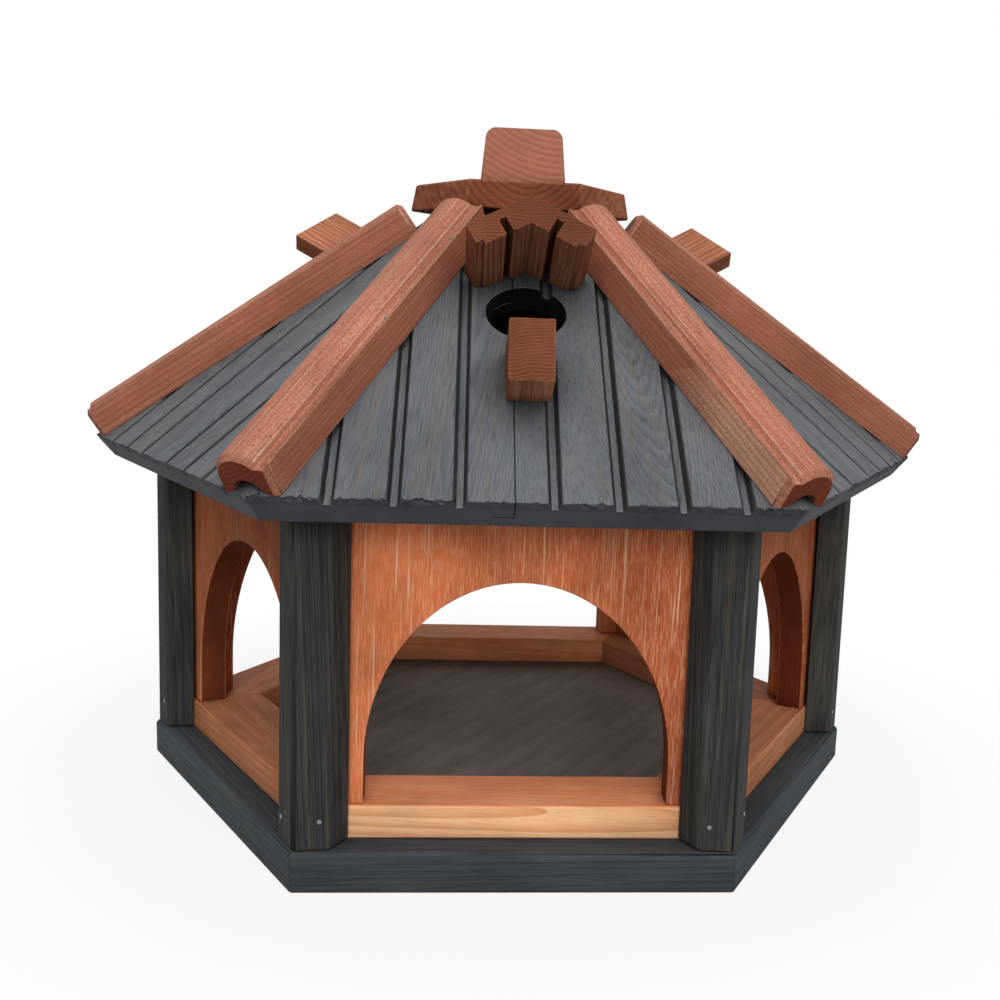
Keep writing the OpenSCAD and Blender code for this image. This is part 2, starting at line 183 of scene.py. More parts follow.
# A hair under the base, so that the two faces don't share a plane
FLOOR_DROP = 0.0003

floor_paper = bpy.data.materials.new("white_studio_paper")
floor_paper.use_nodes = True
paper_tree = floor_paper.node_tree
paper_tree.nodes.clear()
seen = seen_directly(paper_tree)
paper_colour = add(paper_tree, "ShaderNodeMix", {
    "Factor": seen, MIX_A: linear(PAPER_DIM), MIX_B: linear(PAPER_SEEN)}, data_type="RGBA")
paper = add(paper_tree, "ShaderNodeBsdfDiffuse", {"Color": paper_colour.outputs[MIX_OUT]})
white = add(paper_tree, "ShaderNodeEmission", {"Color": linear("#ffffff"), "Strength": 1.0})
place = add(paper_tree, "ShaderNodeTexCoord")
distance = add(paper_tree, "ShaderNodeVectorMath", {0: place.outputs["Object"]}, operation="LENGTH")
fade = add(paper_tree, "ShaderNodeMapRange", {
    "Value": distance.outputs["Value"], "From Min": FADE_FROM, "From Max": FADE_TO,
    "To Min": PAPER_GLOW}, interpolation_type="SMOOTHSTEP")
faded = add(paper_tree, "ShaderNodeMath", {0: fade.outputs["Result"], 1: seen}, operation="MULTIPLY")
paper_mix = add(paper_tree, "ShaderNodeMixShader", {
    0: faded.outputs[0], 1: paper.outputs[0], 2: white.outputs[0]})
add(paper_tree, "ShaderNodeOutputMaterial", {"Surface": paper_mix.outputs[0]})

bm = bmesh.new()
bmesh.ops.create_circle(bm, cap_ends=True, segments=FLOOR_SEGMENTS, radius=FLOOR_RADIUS)
bmesh.ops.translate(bm, verts=bm.verts, vec=(0, 0, cad_low.z - FLOOR_DROP))
floor_mesh = bpy.data.meshes.new("floor")
bm.to_mesh(floor_mesh)
bm.free()
floor_mesh.materials.append(floor_paper)
floor = bpy.data.objects.new("floor", floor_mesh)
bpy.context.scene.collection.objects.link(floor)
print("floor disc of radius", FLOOR_RADIUS, "m")

# %% [markdown]
# ## Lamps
#
# Large square lamps give soft light with hardly any shadow. A lamp's power in watts has to grow with the
# square of its distance, so each lamp is given the share of light that it brings, and the watts are
# worked out. That way a lamp can be moved without making the picture darker.

# %% Lamps
MIDDLE = Vector((0, 0, (cad_low.z + cad_high.z) / 2))


def softbox(name, place, width, share):
    """A square soft lamp aimed at the feeder. share 1 alone would render a white card as white."""
    reach = MIDDLE - Vector(place)
    light = bpy.data.lights.new(name, "AREA")
    light.shape = "SQUARE"
    light.size = width
    # A lamp of P watts gives P / (pi d^2) on a card that faces it, and a white card shows 1 at pi
    light.energy = share * pi ** 2 * reach.length ** 2
    lamp = bpy.data.objects.new(name, light)
    lamp.location = place
    lamp.rotation_euler = reach.to_track_quat("-Z", "Y").to_euler()
    bpy.context.scene.collection.objects.link(lamp)
    print(name, round(light.energy, 1), "W")


# The low lamp reaches under the eaves, the high one lights roof and sills, the other two fill in
softbox("low_softbox", place=(0.0, -2.4, 0.55), width=2.2, share=0.35)
softbox("high_softbox", place=(0.3, -1.9, 1.8), width=2.4, share=0.5)
softbox("top_softbox", place=(0.0, -0.4, 2.3), width=1.6, share=0.22)
softbox("back_softbox", place=(-0.3, 2.3, 1.4), width=2.4, share=0.25)

# %% [markdown]
# ## The log behind each board
#
# Planed spruce shows growth rings and long fibres. A flat image of wood would show the same lines on the
# face and on the end of a board. Real wood is solid, so we give every board its own 3-D coordinates in
# millimetres, called grain: X and Y measured from the heart of the tree, Z along the fibres. One set of
# rings round that axis then draws long lines on the faces and arcs on the sawn ends, as in a real plank.
# Noise that is stretched along the same axis makes fibres, streaks and blotches.

# %% Rings and fibres
# A Wave texture repeats every pi / 10 units at a scale of 1
WAVE_PERIOD = pi / 10
# Along the fibres, rings wander this much more slowly than across them
RING_RUN = 30


def log_patterns(tree, grain, ring_mm, wander, noise_sizes):
    """The rings, and a noise for each size across the fibres, size along them and amount of detail."""
    # Pale early wood darkens slowly, then stops at a sharp line
    log = add(tree, "ShaderNodeMapping", {"Vector": grain, "Scale": (1, 1, 1 / RING_RUN)})
    rings = add(tree, "ShaderNodeTexWave", {
        "Vector": log.outputs[0], "Scale": WAVE_PERIOD / ring_mm, "Distortion": wander, "Detail": 2.0,
        "Detail Scale": 0.35, "Detail Roughness": 0.55},
        wave_type="RINGS", rings_direction="Z", wave_profile="SAW")
    patterns = [rings.outputs["Fac"]]
    for across, along, detail in noise_sizes:
        stretched = add(tree, "ShaderNodeMapping", {
            "Vector": grain, "Scale": (1 / across, 1 / across, 1 / along)})
        spots = add(tree, "ShaderNodeTexNoise", {
            "Vector": stretched.outputs[0], "Scale": 1.0, "Detail": detail, "Roughness": 0.6})
        patterns.append(spots.outputs["Fac"])
    return patterns


print("wave scale for rings of 1 mm:", round(WAVE_PERIOD, 3))

# %% [markdown]
# ## How deep the stain is, and painted shade
#
# Stain is never even: it pools here and is wiped off there, and one board drinks more of it than the
# next.
# On top of that, painted shade darkens the colour where boards meet and in corners. All of these only
# darken or pale a colour, so they are multiplied into one number. A second attribute of the mesh, finish,
# carries what belongs to a face: where the stain was rubbed thin (X), where end grain drank more of it
# and the flats of the battens are painted darker as shade (Y), and how many steps darker or paler it is
# (Z), which on some faces is painted light and on others painted shade. Corners are found by the Ambient
# Occlusion node, which sees the same from every side.

# %% Depth of the stain, and painted shade
# How much one step of the finish's Z darkens or pales a face
TONE_STEP = 0.12
# Nearly all values of a Noise texture lie between these two
NOISE_LOW, NOISE_HIGH = 0.3, 0.7
# How much open space there is in the tightest corner and on an open face
CORNER, OPEN = 0.2, 0.9
CORNER_RAYS = 6


def stain_and_painted_light(tree, finish, blotches, blotch_share, painted_shade_mm, painted_shade_share):
    tone_shift = add(tree, "ShaderNodeMapRange", {
        "Value": blotches, "From Min": NOISE_LOW, "From Max": NOISE_HIGH,
        "To Min": 1 - blotch_share, "To Max": 1 + blotch_share})
    # The finish's Z holds uneven stain, and on some faces painted light, on others painted shade
    tone = add(tree, "ShaderNodeMath", {
        0: finish["Z"], 1: TONE_STEP, 2: 1.0}, operation="MULTIPLY_ADD")
    # Painted shade: where the Ambient Occlusion node finds other wood close by, the colour is darkened
    corners = add(tree, "ShaderNodeAmbientOcclusion", {"Distance": painted_shade_mm / MM}, samples=CORNER_RAYS)
    painted_shade = add(tree, "ShaderNodeMapRange", {
        "Value": corners.outputs["AO"], "From Min": CORNER, "From Max": OPEN, "To Min": 1 - painted_shade_share})
    depth = add(tree, "ShaderNodeMath", {
        0: tone_shift.outputs[0], 1: tone.outputs[0]}, operation="MULTIPLY")
    depth = add(tree, "ShaderNodeMath", {
        0: depth.outputs[0], 1: painted_shade.outputs[0]}, operation="MULTIPLY")
    return depth.outputs[0]


print("one step of tone:", TONE_STEP)

# %% [markdown]
# ## Stained softwood
#
# A finish lays its colours over one another: the rings, then streaks and fibres, then end grain that
# drank more stain, a layer that also paints shade on the flats of the battens, and last the bare wood
# that shows where the stain was rubbed off. Each finish could have a tree of its own, but they differ
# only in colours and sizes, so one function takes those.

# %% A wood finish from its colours and sizes
BLOTCH_MM = (38.0, 70.0)
FIBRE_DETAIL, STREAK_DETAIL, BLOTCH_DETAIL = 4.0, 2.0, 3.0
# The first part of a ring stays pale
EARLY_WOOD = 0.3
# How fast a streak rises out of its noise, and where a fleck starts and is full
STREAK_RISE = 0.2
FLECK_FROM, FLECK_FULL = 0.46, 0.66
# How much of streaks and flecks a sawn end hides
FIBRES_CUT = -0.75
# On a rubbed face, fibres over the first value hold stain longest, and those under the second lose it
STAIN_HELD, STAIN_GONE = 0.66, 0.42
LEAST_WORN = 0.25
# Late wood of a face that is rubbed bare
HONEY = "#c88c58"
# How high rings stand beside fibres, and fibres in metres
RING_RELIEF = 0.45
FIBRE_HEIGHT = 0.0005
# How far the roughness swings about the finish's own
SMOOTHER, ROUGHER = -0.08, 0.1


def stained_wood(name, body, shade, streak, fleck, rubbed, soak_and_shade_tint, ring_mm, ring_share, streak_share,
                 fleck_share, blotch_share, fibre_mm=(0.9, 34.0), streak_mm=(6.0, 210.0),
                 streak_from=0.46, wander=4.0, rough=0.62, painted_shade_mm=14.0, painted_shade_share=0.45):
    """Sizes are across and along the fibres, and a share says how strongly a layer shows."""
    material = bpy.data.materials.new(name)
    material.use_nodes = True
    tree = material.node_tree
    tree.nodes.clear()
    grain = add(tree, "ShaderNodeAttribute", attribute_name="grain").outputs["Vector"]
    finish = add(tree, "ShaderNodeAttribute", attribute_name="finish").outputs["Vector"]
    finish = add(tree, "ShaderNodeSeparateXYZ", {0: finish}).outputs
    # A single fibre is too fine to show, so fibre_mm is the size of a bundle of them
    rings, fibres, streaks, blotches = log_patterns(tree, grain, ring_mm, wander, (
        (*fibre_mm, FIBRE_DETAIL), (*streak_mm, STREAK_DETAIL), (*BLOTCH_MM, BLOTCH_DETAIL)))

    # Rings, with streaks and flecks along the fibres, which a sawn end cuts short
    late_wood = add(tree, "ShaderNodeMapRange", {
        "Value": rings, "From Min": EARLY_WOOD, "From Max": 1.0, "To Max": ring_share})
    lengthwise = add(tree, "ShaderNodeMath", {
        0: finish["Y"], 1: FIBRES_CUT, 2: 1.0}, operation="MULTIPLY_ADD", use_clamp=True)
    stained = add(tree, "ShaderNodeMix", {
        "Factor": late_wood.outputs[0], MIX_A: linear(body), MIX_B: linear(shade)}, data_type="RGBA")
    for pattern, low, high, share, colour in (
            (streaks, streak_from, streak_from + STREAK_RISE, streak_share, streak),
            (fibres, FLECK_FROM, FLECK_FULL, fleck_share, fleck)):
        shown = add(tree, "ShaderNodeMapRange", {
            "Value": pattern, "From Min": low, "From Max": high, "To Max": share},
            interpolation_type="SMOOTHSTEP")
        shown = add(tree, "ShaderNodeMath", {
            0: shown.outputs[0], 1: lengthwise.outputs[0]}, operation="MULTIPLY")
        stained = add(tree, "ShaderNodeMix", {
            "Factor": shown.outputs[0], MIX_A: stained.outputs[MIX_OUT], MIX_B: linear(colour)},
            data_type="RGBA")
    # End grain drank more stain, and the flats of the battens are painted darker here as shade
    soak_and_shade = add(tree, "ShaderNodeMix", {
        "Factor": finish["Y"], MIX_A: stained.outputs[MIX_OUT], MIX_B: linear(soak_and_shade_tint)},
        data_type="RGBA", blend_type="MULTIPLY")

    # Where the stain is rubbed away, bare wood shows between the fibres that still hold it
    bare = add(tree, "ShaderNodeMix", {
        "Factor": late_wood.outputs[0], MIX_A: linear(rubbed), MIX_B: linear(HONEY)},
        data_type="RGBA", blend_type="MULTIPLY")
    worn = add(tree, "ShaderNodeMapRange", {
        "Value": fibres, "From Min": STAIN_HELD, "From Max": STAIN_GONE, "To Min": LEAST_WORN},
        interpolation_type="SMOOTHSTEP")
    worn = add(tree, "ShaderNodeMath", {0: worn.outputs[0], 1: finish["X"]}, operation="MULTIPLY")
    coated = add(tree, "ShaderNodeMix", {
        "Factor": worn.outputs[0], MIX_A: soak_and_shade.outputs[MIX_OUT], MIX_B: bare.outputs[MIX_OUT]},
        data_type="RGBA")
    # Stain depth, painted light and painted shade darken or pale the colour together
    depth = stain_and_painted_light(tree, finish, blotches, blotch_share, painted_shade_mm, painted_shade_share)
    toned = add(tree, "ShaderNodeMix", {
        "Factor": 1.0, MIX_A: coated.outputs[MIX_OUT], MIX_B: depth},
        data_type="RGBA", blend_type="MULTIPLY")

    # Late wood and fibres stand proud of the soft early wood, and stain leaves both nearly matt
    relief = add(tree, "ShaderNodeMath", {
        0: rings, 1: RING_RELIEF, 2: fibres}, operation="MULTIPLY_ADD")
    bump = add(tree, "ShaderNodeBump", {
        "Strength": 0.5, "Distance": FIBRE_HEIGHT, "Height": relief.outputs[0]})
    roughness = add(tree, "ShaderNodeMapRange", {
        "Value": fibres, "From Min": NOISE_LOW, "From Max": NOISE_HIGH,
        "To Min": rough + SMOOTHER, "To Max": rough + ROUGHER})
    surface = add(tree, "ShaderNodeBsdfPrincipled", {
        "Base Color": toned.outputs[MIX_OUT], "Roughness": roughness.outputs[0],
        "Normal": bump.outputs[0], "IOR": 1.5, "Specular IOR Level": 0.05})
    add(tree, "ShaderNodeOutputMaterial", {"Surface": surface.outputs[0]})
    print("finish:", name)
    return material


# %% [markdown]
# ## Grey stain
#
# Two stains were brushed on this feeder, a blue-grey one and a red-brown one, over planed spruce. The
# same grey looks different on each part: the roof boards took a thin, wiped coat, the base and posts a
# heavier one, and the floor is trodden and dusty. One grey for all of them would look like plastic, so
# each coat is a finish of its own.

# %% Grey stain
# A thin wiped coat: blue-grey, with close wavy rings and soft streaks of warmer grey
# Its painted shade reaches far, so that it darkens the roof under the dormers and beside the battens
roof_grey = stained_wood(
    "grey_stained_spruce_wiped", body="#767a7f", shade="#52565a", streak="#7d756c", fleck="#4c4f53",
    rubbed="#85888c", soak_and_shade_tint="#bfc1c4", ring_mm=1.2, ring_share=0.55, streak_share=0.4, fleck_share=0.55,
    blotch_share=0.18, fibre_mm=(0.7, 20.0), wander=7.0, painted_shade_mm=40.0, painted_shade_share=0.65)
# A heavy coat on the base that hides most of the rings
base_grey = stained_wood(
    "grey_stained_spruce_heavy", body="#4c5257", shade="#3a3f44", streak="#585855", fleck="#353a3e",
    rubbed="#565a5b", soak_and_shade_tint="#c8ccd0", ring_mm=3.0, ring_share=0.6, streak_share=0.5, fleck_share=0.6,
    blotch_share=0.14, fibre_mm=(1.0, 45.0), painted_shade_share=0.3)
# The posts: the same coat on rougher wood, with olive and brown streaks coming through
post_grey = stained_wood(
    "grey_stained_spruce_rough", body="#424443", shade="#2c2d2f", streak="#565147", fleck="#262728",
    rubbed="#5a5a54", soak_and_shade_tint="#c8ccd0", ring_mm=3.4, ring_share=0.7, streak_share=0.75, fleck_share=0.7,
    blotch_share=0.2, fibre_mm=(0.8, 50.0), streak_mm=(4.0, 160.0), wander=6.0, painted_shade_share=0.3)
# The floor: the same grey over a browner board, trodden and dusty
floor_grey = stained_wood(
    "grey_stained_floor_spruce", body="#6b6661", shade="#56524d", streak="#736d67", fleck="#585450",
    rubbed="#7c746c", soak_and_shade_tint="#b0b4b8", ring_mm=16.0, ring_share=0.4, streak_share=0.4, fleck_share=0.25,
    blotch_share=0.2, streak_mm=(14.0, 160.0), painted_shade_share=0.3)

# %% [markdown]
# ## Brown stain
#
# The brown panels were sanded back until pale streaks of bare wood show through, the battens kept the
# roughness of the moulding cutter, and thick blocks show the rings of their sawn ends. The stain is the
# same on all of them, so their finishes differ most in the width of the rings and the size of the fibres.

# %% Brown stain
# Sanded back after staining: red-brown, with fine pale fibres and a few long pale streaks
panel_brown = stained_wood(
    "brown_stained_spruce_sanded", body="#d67549", shade="#983e20", streak="#f6d4ac", fleck="#eba980",
    rubbed="#dba882", soak_and_shade_tint="#a09a98", ring_mm=280.0, ring_share=0.9, streak_share=0.85,
    fleck_share=0.65, blotch_share=0.26, fibre_mm=(0.4, 9.0), streak_mm=(1.5, 90.0), streak_from=0.58,
    wander=2.0)
# Moulded battens: a thin coat, speckled where the cutter left the fibres rough
batten_brown = stained_wood(
    "brown_stained_spruce_moulded", body="#c6866e", shade="#a45f47", streak="#ddae92", fleck="#82412d",
    rubbed="#e2b89c", soak_and_shade_tint="#b08c7c", ring_mm=3.0, ring_share=0.5, streak_share=0.6, fleck_share=0.75,
    blotch_share=0.16, fibre_mm=(0.45, 1.6), streak_mm=(2.0, 130.0), streak_from=0.5, rough=0.7)
# Sills: planed, with bare wood coming through on the outer faces
sill_brown = stained_wood(
    "brown_stained_spruce_planed", body="#dc8d62", shade="#c3714b", streak="#e5a67e", fleck="#b86843",
    rubbed="#f0bb8d", soak_and_shade_tint="#b88878", ring_mm=5.0, ring_share=0.5, streak_share=0.4, fleck_share=0.3,
    blotch_share=0.18, wander=6.0)
# Thick offcuts with sawn ends, where the rings show as lines
block_brown = stained_wood(
    "brown_stained_spruce_sawn", body="#9b6147", shade="#5f3224", streak="#a87156", fleck="#6c3c2c",
    rubbed="#c99372", soak_and_shade_tint="#e0d6d2", ring_mm=1.9, ring_share=0.75, streak_share=0.4, fleck_share=0.5,
    blotch_share=0.2, fibre_mm=(0.9, 26.0), wander=10.0)
# The chimney block: coarse wood with wide, pale rings
chimney_brown = stained_wood(
    "brown_stained_spruce_coarse", body="#c28770", shade="#9b5f48", streak="#d3a184", fleck="#935641",
    rubbed="#d2a081", soak_and_shade_tint="#ece4e0", ring_mm=4.0, ring_share=0.6, streak_share=0.5, fleck_share=0.45,
    blotch_share=0.14, fibre_mm=(0.9, 26.0), wander=1.6)
# The cap: a dark plank near the heart of its tree, so its rings open like a fan
cap_brown = stained_wood(
    "brown_stained_spruce_dark", body="#ad664b", shade="#703624", streak="#be7d58", fleck="#74392a",
    rubbed="#c18a69", soak_and_shade_tint="#cfc8c4", ring_mm=4.4, ring_share=0.65, streak_share=0.7, fleck_share=0.5,
    blotch_share=0.22, fibre_mm=(0.9, 26.0), wander=4.0)

# %% [markdown]
# ## Bare pine
#
# The loft floor inside the roof never met a brush. A second function for bare wood isn't needed: with
# the colours of pine and blotches that hardly show, the one for stained wood makes it too.

# %% Bare pine
# Planed and pale, with honey-coloured rings
loft_pine = stained_wood(
    "bare_planed_pine", body="#dcc096", shade="#c09a66", streak="#e4cda6", fleck="#bd9a6c",
    rubbed="#e6d3b0", soak_and_shade_tint="#d0b48c", ring_mm=6.0, ring_share=0.6, streak_share=0.4, fleck_share=0.35,
    blotch_share=0.06)

# %% [markdown]
# ## Which way each board was sawn
#
# Every board has its own axes: X across its width, Y through its thickness and Z along its fibres.
# All pieces repeat round a hexagon, so a piece is described once, as if it faced the front (a side) or
# pointed to the right (a corner), and then turned by 60 degrees at a time.

# %% Axes of the boards
SIDES = ["front", "front_right", "back_right", "back", "back_left", "front_left"]
CORNERS = ["right", "back_right", "back_left", "left", "front_left", "front_right"]
ROOF_PITCH = radians(38.5)
# The hips lie in the corners of the hexagon, so they climb more slowly than the faces
HIP_PITCH = atan(tan(ROOF_PITCH) * cos(radians(30)))
# Dormers and perches tip up by this much from level
PORCH_TILT = radians(24)

upright = Matrix.Identity(3)
along_x = Matrix(((0, 0, 1), (1, 0, 0), (0, 1, 0)))
along_y = Matrix(((1, 0, 0), (0, 0, 1), (0, -1, 0)))
up_slope = Matrix.Rotation(ROOF_PITCH, 3, "X") @ along_y
down_hip = Matrix.Rotation(HIP_PITCH, 3, "Y") @ along_x
out_of_porch = Matrix.Rotation(radians(90) - PORCH_TILT, 3, "X")


def turned(axes, step):
    """The axes of a piece that stands step sixths of a turn anticlockwise from where it is drawn."""
    return Matrix.Rotation(radians(60 * step), 3, "Z") @ axes


print("hips climb at", round(degrees(HIP_PITCH), 1), "degrees")

# %% [markdown]
# ## Easing the edges
#
# A CAD mesh arrives as loose triangles, so a copy is merged first and its flat faces are made whole
# again. Then the bevel operator rolls every sharp outer edge over by about a millimetre, as a few
# strokes of sandpaper do. The sign of an edge's angle tells an arris from a valley, which no sandpaper
# reaches. A Bevel modifier could do this too, but the operator hands back the new faces, and those are
# exactly where the stain is rubbed thin, so they get their share of wear at once.

# %% Merge, ease and lay the grain
# Vertices closer than this, in metres, are one
WELD = 1e-5
# Faces that meet flatter than the first angle are one, and edges sharper than the second are eased
FLAT_ANGLE = radians(0.6)
SHARP_ANGLE = radians(24)
# Edges shorter than this belong to nail bores, which the nail heads cover
SHORTEST_EDGE = 0.0011
# A face that looks this much along the fibres is end grain
END_GRAIN = 0.75


def merged_copy(node):
    bm = bmesh.new()
    bm.from_mesh(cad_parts[node].data)
    bmesh.ops.remove_doubles(bm, verts=bm.verts, dist=WELD)
    bmesh.ops.dissolve_limit(bm, angle_limit=FLAT_ANGLE, verts=bm.verts, edges=bm.edges)
    return bm


def ease_edges(bm, offset, wear, shortest):
    finish = bm.faces.layers.float_vector.new("finish")
    sharp = [e for e in bm.edges if e.is_manifold and e.calc_length() > shortest
             and e.calc_face_angle_signed() > SHARP_ANGLE]
    eased = bmesh.ops.bevel(
        bm, geom=sharp, offset=offset, offset_type="OFFSET", affect="EDGES", segments=2, profile=0.5,
        clamp_overlap=False, material=-1)
    for face in eased["faces"]:
        face[finish] = (wear, 0, 0)


def lay_grain(bm, axes, heart, start, lean, tone):
    """Writes each vertex's place in the log, in millimetres from its heart, and marks the sawn ends."""
    grain = bm.verts.layers.float_vector.new("grain")
    finish = bm.faces.layers.float_vector["finish"]
    middle = sum((v.co for v in bm.verts), Vector()) / len(bm.verts)
    to_log = (axes @ Matrix.Rotation(lean[0], 3, "X") @ Matrix.Rotation(lean[1], 3, "Y")).transposed()
    for vert in bm.verts:
        vert[grain] = to_log @ (vert.co - middle) * MM - Vector((*heart, -start))
    fibre = axes.col[2]
    for face in bm.faces:
        ends = 1.0 if abs(face.normal.dot(fibre)) > END_GRAIN else 0.0
        rubbed, soak_and_shade, depth = face[finish]
        face[finish] = (rubbed, max(soak_and_shade, ends), depth + tone)


print("edges over", round(degrees(SHARP_ANGLE)), "degrees are eased")

# %% [markdown]
# ## From mesh to piece
#
# The finished copy takes the place of the CAD node, rides on the same body and gets its finish as
# material.
# A Weighted Normal modifier lets the big flat faces rule the shading, so only the eased edges look
# round. Each board draws its own numbers from a generator seeded with its name: the heart of its tree,
# a slight lean of the fibres, and how dark the stain came out. The same board looks the same each run.

# %% Make a piece
import random

# Edges flatter than this are shaded smooth
SMOOTH_ANGLE = radians(38)
# How far an edge is eased and how far the fibres lean, unless a piece says otherwise
EASED = 0.0008
LEAN = 0.025
# How far from the middle of its board the heart of a tree lies, across it and through it, in mm
HEART_ACROSS = 45
HEART_THROUGH = (28, 60)
# A board may start anywhere along its log, in mm
LOG_LENGTH = 4000


def make_piece(node, axes, material, edge=EASED, wear=0.5, shortest=SHORTEST_EDGE, heart=None,
               lean=LEAN, tone=None, shape=None):
    draw = random.Random(node)
    drawn_heart = (draw.uniform(-HEART_ACROSS, HEART_ACROSS),
                   draw.choice((-1, 1)) * draw.uniform(*HEART_THROUGH))
    drawn_lean = (draw.uniform(-lean, lean), draw.uniform(-lean, lean))
    drawn_tone = draw.uniform(-1, 1)
    drawn_start = draw.uniform(0, LOG_LENGTH)
    bm = merged_copy(node)
    ease_edges(bm, edge, wear, shortest)
    if shape:
        shape(bm, axes, node)
    lay_grain(bm, axes, heart or drawn_heart, drawn_start, drawn_lean,
              drawn_tone if tone is None else tone)
    mesh = bpy.data.meshes.new(node + "_eased")
    bm.to_mesh(mesh)
    bm.free()
    mesh.shade_smooth()
    mesh.set_sharp_from_angle(angle=SMOOTH_ANGLE)
    mesh.materials.append(material)
    piece = bpy.data.objects.new(node + "_eased", mesh)
    bpy.context.scene.collection.objects.link(piece)
    piece.modifiers.new("flat_faces_rule", "WEIGHTED_NORMAL").keep_sharp = True
    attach(piece, "root")
    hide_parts(node)
    return piece


print("pieces are eased by", EASED * MM, "mm unless they say otherwise")

# %% [markdown]
# ## Base
#
# Six rails, mitred at the corners, frame a floor board. Their fibres run along each side. Easing the
# mitred ends a little more opens the thin dark seams that show at the corners of the real base.

# %% Base rails and floor
# One rail got less stain than the others
BASE_TONES = {"front_left": 3.0}
for step, side in enumerate(SIDES):
    make_piece("base_rail_" + side, turned(along_x, step), base_grey,
               edge=0.0009, wear=0.3, tone=BASE_TONES.get(side))
# The floor's fibres run askew under the arches, and its dusty coat is pale
FLOOR_TURN = radians(58)
FLOOR_HEART = (60, -18)
FLOOR_TONE = 5.4
make_piece("floor_board", Matrix.Rotation(FLOOR_TURN, 3, "Z") @ along_x, floor_grey,
           heart=FLOOR_HEART, lean=0.01, tone=FLOOR_TONE)
print("base:", len(SIDES), "rails and a floor")

# %% [markdown]
# ## Sills
#
# A sill lies on each rail. Sun and fingers wore the outer face of the front one back to bare wood. A
# second material could show that, but then its rings would have to be matched to the first, so we only
# give the faces that point outwards a larger share of wear.

# %% Sills with rubbed outer faces
# Over 1, even the fibres that hold stain longest are bare
RUBBED_FRONT = 2.4
RUBBED_SIDE = 0.25
# A face that looks this much outwards is an outer face
OUTER_FACE = 0.8
# The heart of the front sill's tree lies close in front of it, so its face shows long flames
FRONT_SILL_HEART = (-22, 3)
FRONT_SILL_LEAN = 0.2
SILL_LEAN = 0.06
# The front and back sills are painted paler than the others, as painted light on their tops
SILL_LIGHT_TONES = {"front": 4.8, "back": 2.0}
# Tone of the front sill's rubbed face, added to the sill's own
FRONT_FACE_TONE = -1.6


def rub_outer_face(bm, axes, node):
    finish = bm.faces.layers.float_vector["finish"]
    worn = (RUBBED_FRONT, 0, FRONT_FACE_TONE) if node == "sill_front" else (RUBBED_SIDE, 0, 0)
    outwards = -axes.col[0]
    for face in bm.faces:
        if face.normal.dot(outwards) > OUTER_FACE:
            face[finish] = worn


for step, side in enumerate(SIDES):
    front = side == "front"
    make_piece("sill_" + side, turned(along_x, step), sill_brown, edge=0.0006, wear=0.4,
               heart=FRONT_SILL_HEART if front else None, lean=FRONT_SILL_LEAN if front else SILL_LEAN,
               tone=SILL_LIGHT_TONES.get(side), shape=rub_outer_face)
print("sills:", len(SIDES))

# %% [markdown]
# ## Arch panels and posts
#
# The panels stand with their fibres upright, and so do the posts in front of their joints. The sawn
# reveals of the arches drank the most stain, while sandpaper left a pale line round each opening. Both
# come from the mesh: the reveal is whatever looks along the panel, and the line is the eased edge.

# %% Panels and posts
# Rings as wide as the board don't show as lines: they only darken it slowly towards its right side
PANEL_HEART = (-150, 30)
# Painted light: the front panel is painted paler, the side panels darker and the front-right one between
PANEL_LIGHT_TONES = {"front": 2.2, "front_right": 0.7}
SIDE_PANEL_SHADE = -0.3
# A face that looks less than this much outwards or inwards belongs to a reveal
ALONG_PANEL = 0.3
# Added to the panel's own tone
REVEAL_TONE = -0.8
POST_TONE = 0.7


def stain_reveal(bm, axes, node):
    finish = bm.faces.layers.float_vector["finish"]
    for face in bm.faces:
        if abs(face.normal.dot(axes.col[1])) < ALONG_PANEL:
            face[finish] = (0, 1, REVEAL_TONE)


for step, side in enumerate(SIDES):
    make_piece("arch_panel_" + side, turned(upright, step), panel_brown,
               wear=0.25, heart=PANEL_HEART, lean=0.015, tone=PANEL_LIGHT_TONES.get(side, SIDE_PANEL_SHADE),
               shape=stain_reveal)
for step, corner in enumerate(CORNERS):
    make_piece("corner_post_" + corner, turned(upright, step), post_grey,
               edge=0.0025, wear=0.2, lean=0.05, tone=POST_TONE)
print("walls:", len(SIDES), "panels and", len(CORNERS), "posts")

# %% [markdown]
# ## Dark hollows in the roof boards
#
# Low on their walls, the grooves are painted dark as shade, the left wall more than the right, and their
# floors are painted paler as light against that shade. The walls of the nest holes are painted near
# black,
# as the shade inside them. A texture would have to be fitted to every groove, so we ask the mesh instead:
# how deep does a face lie under the upper face of its board, and which way does it look? A bisect plane
# first splits the walls of the grooves at the depth where the dark part starts.

# %% Darken the hollows of a board
# Bisect planes take a vertex this close to be on the plane
ON_PLANE = 1e-6
# A face that lies deeper than this is in a groove or a hole
GROOVE_LIP = 0.0005
# It is a floor if it looks outwards by more than the first value, and a wall if only by the second
LOOKS_OUT, LEANS_OUT = 0.9, 0.1
# Below this depth, a groove's walls are painted dark as shade, the left wall more than the right one
GROOVE_SHADE_FROM = 0.0012
LEFT_WALL_SHADE, RIGHT_WALL_SHADE = -5.8, -5.2
# Tones of the upper part of a groove's wall, and of its floor, painted paler as light against the shade
GROOVE_WALL = 0.0
GROOVE_FLOOR = 1.8
# The nest holes lie this far up the slope from the eave, and reach this far round their middle
HOLE_SEAT = 0.153
HOLE_REACH = 0.026
# Tone that paints the walls of the nest holes near black, as the shade inside them
HOLE_SHADE = -7.8


def cut_across(bm, faces, place, direction):
    edges = {e for f in faces for e in f.edges}
    verts = {v for f in faces for v in f.verts}
    cut = bmesh.ops.bisect_plane(
        bm, geom=[*verts, *edges, *faces], plane_co=place, plane_no=direction, dist=ON_PLANE)
    return [g for g in cut["geom"] if isinstance(g, bmesh.types.BMFace)]


